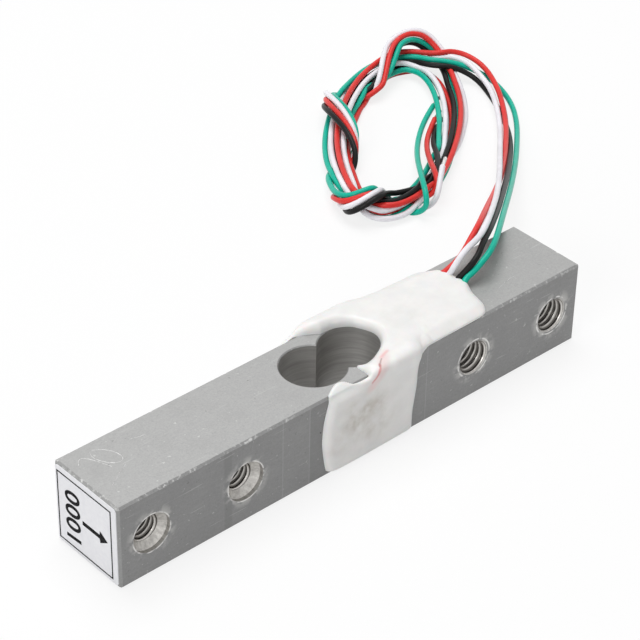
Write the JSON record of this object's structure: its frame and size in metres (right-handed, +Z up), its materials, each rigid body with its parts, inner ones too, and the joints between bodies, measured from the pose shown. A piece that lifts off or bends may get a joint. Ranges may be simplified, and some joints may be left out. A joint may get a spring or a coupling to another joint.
{
  "type": "weighing load cell",
  "caption": "Aluminium bar load cell with a binocular hole, threaded mounting holes, a white silicone seal over the strain gauges and thin coloured leads wound into a loose coil.",
  "frame": {"origin": "middle of the bar's underside", "axes": "+X along the bar away from the sticker, +Y towards the side that the leads leave over, +Z up"},
  "size_m": [0.1232, 0.0745, 0.0174],
  "materials": {
    "bar": "milled, dull, with fine scuffs",
    "label": "matte sticker with a thin black frame",
    "silicone": "satin, cured by hand, faint stains",
    "board": "matte glass fibre laminate",
    "copper": "bare copper",
    "solder": "tinned, satin",
    "gauge_film": "amber film",
    "gauge_foil": "etched foil",
    "insulation_red": "semi-gloss",
    "insulation_white": "semi-gloss",
    "insulation_black": "semi-gloss",
    "insulation_green": "semi-gloss"
  },
  "bodies": {
    "root": {"beam": "bar", "rating_label": "label", "silicone_seal": "silicone", "terminal_board": "board", "terminal_pads": "copper", "lead_cores": "copper", "tab_solder_joints": "solder", "jumper_solder_joints": "solder", "lead_solder_joints": "solder", "wire_coil": "insulation_green", "green_lead_tail": "insulation_green", "gauge_film_front_near": "gauge_film", "gauge_foil_front_near": "gauge_foil", "gauge_film_front_far": "gauge_film", "gauge_foil_front_far": "gauge_foil", "gauge_link_front": "copper", "jumper_front_red": "insulation_red", "jumper_front_green": "insulation_green", "jumper_front_black": "insulation_black", "gauge_film_rear_near": "gauge_film", "gauge_foil_rear_near": "gauge_foil", "gauge_film_rear_far": "gauge_film", "gauge_foil_rear_far": "gauge_foil", "gauge_link_rear": "copper", "jumper_rear_red": "insulation_red", "jumper_rear_green": "insulation_green", "jumper_rear_black": "insulation_black", "red_lead": "insulation_red", "red_tinned_end": "solder", "white_lead": "insulation_white", "white_tinned_end": "solder", "black_lead": "insulation_black", "black_tinned_end": "solder", "green_lead": "insulation_green", "green_tinned_end": "solder"}
  },
  "joints": []
}
